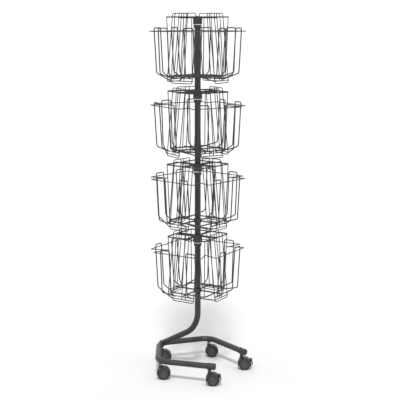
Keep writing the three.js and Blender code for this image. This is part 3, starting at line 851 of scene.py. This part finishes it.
def housing(has_brake):
    """The hood over both wheels, the web between them, the axle, and the boss and stem that swivel."""
    mesh = bmesh.new()
    stay = Matrix()
    low, high = HOOD_DEGREES
    plate(mesh, hood_band(HOOD_IN_R, HOOD_OUT_R, low, high), -HOOD_HALF, HOOD_HALF, stay, 0.0011)
    for side in (-1, 1):
        near, far = sorted((side * (HOOD_HALF - 0.0022), side * HOOD_HALF))
        plate(mesh, hood_band(HOOD_IN_R - 0.0008, HOOD_OUT_R - 0.0005, low, high), near, far, stay)
    web = arc(TRAIL, WHEEL_R, HOOD_OUT_R - 0.001, low, high, 22)
    web += arc(TRAIL, WHEEL_R, WEB_HUB_R, *WEB_HUB_DEGREES, 10)
    plate(mesh, web, -WEB_HALF, WEB_HALF, stay)
    ridge_from = BRAKED_RIDGE_FROM if has_brake else low + 4
    ridge = hood_band(HOOD_OUT_R - 0.001, HOOD_OUT_R + RIDGE_HIGH, ridge_from, high - 30)
    plate(mesh, ridge, -RIDGE_HALF, RIDGE_HALF, stay, 0.0005)
    across = Matrix.Translation((TRAIL, 0, WHEEL_R)) @ Matrix.Rotation(-math.pi / 2, 4, "X")
    turned(mesh, [(0, -AXLE_HALF), (AXLE_R, -AXLE_HALF), (AXLE_R, AXLE_HALF), (0, AXLE_HALF)], across, 24)
    flare = BOSS_BOTTOM + 0.004
    profile = [(0, flare), (BOSS_R + 0.0015, flare), (BOSS_R, BOSS_BOTTOM + 0.009)]
    profile += [(BOSS_R, BOSS_TOP - 0.0015), (BOSS_R - 0.0015, BOSS_TOP), (STEM_R, BOSS_TOP)]
    shoulder_top = BASE_Z - (CAP_OUT_R if has_brake else BASE_TUBE_R) - RUNNING_GAP
    shoulder_low = shoulder_top - SHOULDER_HIGH
    profile += [(STEM_R, shoulder_low), (SHOULDER_R, shoulder_low), (SHOULDER_R, shoulder_top)]
    profile += [(STEM_R, shoulder_top), (STEM_R, BASE_Z), (0, BASE_Z)]
    turned(mesh, soft_profile(profile, 0.0006), sides=36, paint=bare_stem)
    if has_brake:
        ear = hood_band(HOOD_OUT_R - 0.001, HOOD_OUT_R + EAR_HIGH, *EAR_DEGREES, 6)
        near = LEVER_HALF + RUNNING_GAP
        for low_y, high_y in ((near, near + EAR_THICK), (-near - EAR_THICK, -near)):
            plate(mesh, bevelled(ear), low_y, high_y, stay, 0.0006)
    return mesh


def bevelled(outline, radius=0.0016):
    """The closed outline of (x, z) points with its corners rounded."""
    corners = [Vector((x, z, 0)) for x, z in outline]
    return [(point.x, point.y) for point in bent(corners, radius, 3, loop=True)]


def brake_lever(letter):
    """A foot lever: a barrel between the ears, a ribbed beak, and a curved skirt with a raised pad."""
    mesh = bmesh.new()
    pivot = caster_place(letter).inverted() @ JOINT_AT[f"caster_{letter}_brake_press"]
    barrel = Matrix.Translation(pivot) @ Matrix.Rotation(-math.pi / 2, 4, "X")
    ends = [(0, -LEVER_HALF), (LEVER_BARREL_R, -LEVER_HALF)]
    ends += [(LEVER_BARREL_R, LEVER_HALF), (0, LEVER_HALF)]
    turned(mesh, soft_profile(ends, 0.0005), barrel, 24)
    top = LEVER_PIVOT_DEGREES
    outline = arc(TRAIL, WHEEL_R, LEVER_IN_R, top, LEVER_LOW_DEGREES, 12)
    outline += arc(TRAIL, WHEEL_R, LEVER_OUT_R, LEVER_LOW_DEGREES, top - 4, 12)
    outline += arc(TRAIL, WHEEL_R, BEAK_R, BEAK_DEGREES - 2, BEAK_DEGREES, 1)
    outline += arc(TRAIL, WHEEL_R, LEVER_PIVOT_R + LEVER_BARREL_R, top + 2, top, 1)
    plate(mesh, bevelled(outline, 0.0007), -LEVER_HALF, LEVER_HALF, Matrix(), 0.0005)
    pad = hood_band(LEVER_OUT_R - 0.0008, LEVER_OUT_R + 0.0005, LEVER_LOW_DEGREES + 6, top - 9, 10)
    plate(mesh, bevelled(pad, 0.0006), 0.0030 - LEVER_HALF, LEVER_HALF - 0.0030, Matrix(), 0.0004)
    back = arc(TRAIL, WHEEL_R, LEVER_OUT_R, top + 2, top + 2, 1)[0]
    front = arc(TRAIL, WHEEL_R, BEAK_R - PRESS, BEAK_DEGREES, BEAK_DEGREES, 1)[0]
    rib_half = LEVER_HALF - 0.0014
    for share in (0.15, 0.43, 0.71, 0.99):
        x = back[0] + (front[0] - back[0]) * share
        z = back[1] + (front[1] - back[1]) * share
        rod(mesh, [Vector((x, -rib_half, z)), Vector((x, rib_half, z))], 0.0005, sides=8)
    return mesh


def wheel():
    """One of a caster's wheels, turned about Z: tread band, groove, dished disc and hub."""
    mesh = bmesh.new()
    profile = [
        (WHEEL_BORE_R, WHEEL_INNER),
        (WHEEL_R - 0.0014, WHEEL_INNER),
        (WHEEL_R, WHEEL_INNER + 0.0012),
        (WHEEL_R, WHEEL_OUTER - 0.0026),
        (WHEEL_R - 0.0016, WHEEL_OUTER - 0.0008),
        (0.0180, WHEEL_OUTER - 0.0004),
        (0.0175, WHEEL_OUTER - 0.0016),
        (0.0167, WHEEL_OUTER - 0.0016),
        (0.0162, WHEEL_OUTER - 0.0004),
        (0.0143, WHEEL_OUTER - 0.0004),
        (0.0100, WHEEL_OUTER - 0.0020),
        (0.0090, WHEEL_OUTER - 0.0020),
        (0.0084, WHEEL_OUTER - 0.0002),
        (0.0040, WHEEL_OUTER),
        (0, WHEEL_OUTER),
        (0, AXLE_HALF + WHEEL_END_GAP),
        (WHEEL_BORE_R, AXLE_HALF + WHEEL_END_GAP),
    ]
    rounded = [(p.x, p.y) for p in bent([Vector((r, y, 0)) for r, y in profile], 0.0007, 3, loop=True)]
    on_axis = [i for i, (radius, _) in enumerate(rounded) if radius < 1e-5]
    start = on_axis[-1]
    rounded = rounded[start:] + rounded[:start]
    rounded = [spot for spot in rounded if spot[0] > 1e-5]
    turned(mesh, rounded, sides=56, paint=lambda radius, height: 1 if radius > TYRE_FROM_R else 0)
    return mesh


def make_caster(letter):
    name = f"caster_{letter}"
    place = caster_place(letter)
    piece(housing(letter in BRAKED), f"{name}_housing", [HOOD_PLASTIC, ZINC], place)
    axle = place @ Matrix.Translation((TRAIL, 0, WHEEL_R))
    for side, degrees in (("left", -90), ("right", 90)):
        facing = axle @ Matrix.Rotation(math.radians(degrees), 4, "X")
        piece(wheel(), f"{name}_wheel_{side}", [DISC_PLASTIC, TREAD_PLASTIC], facing)
    if letter in BRAKED:
        piece(brake_lever(letter), f"{name}_brake_lever", [HOOD_PLASTIC], place)


# ---- Stage ---------------------------------------------------------------------------------------
VIEW_DEGREES = 35.4
CAMERA_DISTANCE = 4.2175
CAMERA_SIDE = 0.0097
CAMERA_HEIGHT = 1.5073
CAMERA_DOWN_DEGREES = 10.19
CAMERA_LENS = 91.68  # mm
SENSOR_WIDE = 36  # mm
ROOM_STRENGTH = 1.15
LAMP_STRENGTH = 3.3
LAMP_SOFT_DEGREES = 7.5
LAMP_TILT_DEGREES = 35
FLOOR_HALF = 150
FLOOR_GREYS = ((0.50, 0.50, 0.50), (0.52, 0.52, 0.52))


def make_camera():
    data = bpy.data.cameras.new("camera")
    data.sensor_width = SENSOR_WIDE
    data.lens = CAMERA_LENS
    camera = bpy.data.objects.new("camera", data)
    turn = Matrix.Rotation(math.radians(VIEW_DEGREES), 4, "Z")
    camera.location = POLE + turn @ Vector((CAMERA_SIDE, -CAMERA_DISTANCE, CAMERA_HEIGHT))
    camera.rotation_euler = (math.radians(90 - CAMERA_DOWN_DEGREES), 0, math.radians(VIEW_DEGREES))
    bpy.context.scene.collection.objects.link(camera)
    bpy.context.scene.camera = camera


def make_floor():
    mesh = bmesh.new()
    bmesh.ops.create_grid(mesh, x_segments=1, y_segments=1, size=FLOOR_HALF)
    data = bpy.data.meshes.new("floor")
    mesh.to_mesh(data)
    mesh.free()
    made, tree, shader, place = new_material("pale_floor")
    shade = ranged(tree, noise(tree, place, 2.5, 3), 0.3, 0.7, 0, 1)
    tree.links.new(mixed(tree, shade, *FLOOR_GREYS), shader.inputs["Base Color"])
    shader.inputs["Roughness"].default_value = 0.9
    shader.inputs["Specular IOR Level"].default_value = 0.1
    data.materials.append(made)
    floor = bpy.data.objects.new("floor", data)
    bpy.context.scene.collection.objects.link(floor)


def make_light():
    world = bpy.data.worlds.new("white_room")
    world.use_nodes = True
    background = world.node_tree.nodes["Background"]
    background.inputs["Color"].default_value = (1, 1, 1, 1)
    background.inputs["Strength"].default_value = ROOM_STRENGTH
    bpy.context.scene.world = world
    data = bpy.data.lights.new("studio_lamp", "SUN")
    data.energy = LAMP_STRENGTH
    data.angle = math.radians(LAMP_SOFT_DEGREES)
    lamp = bpy.data.objects.new("studio_lamp", data)
    lamp.rotation_euler = (math.radians(LAMP_TILT_DEGREES), 0, math.radians(VIEW_DEGREES))
    bpy.context.scene.collection.objects.link(lamp)
    bpy.context.scene.view_settings.view_transform = "Standard"


make_camera()
make_floor()
make_light()
make_stand()
for number in TIERS:
    make_tier(number)
for letter in CASTERS:
    make_caster(letter)
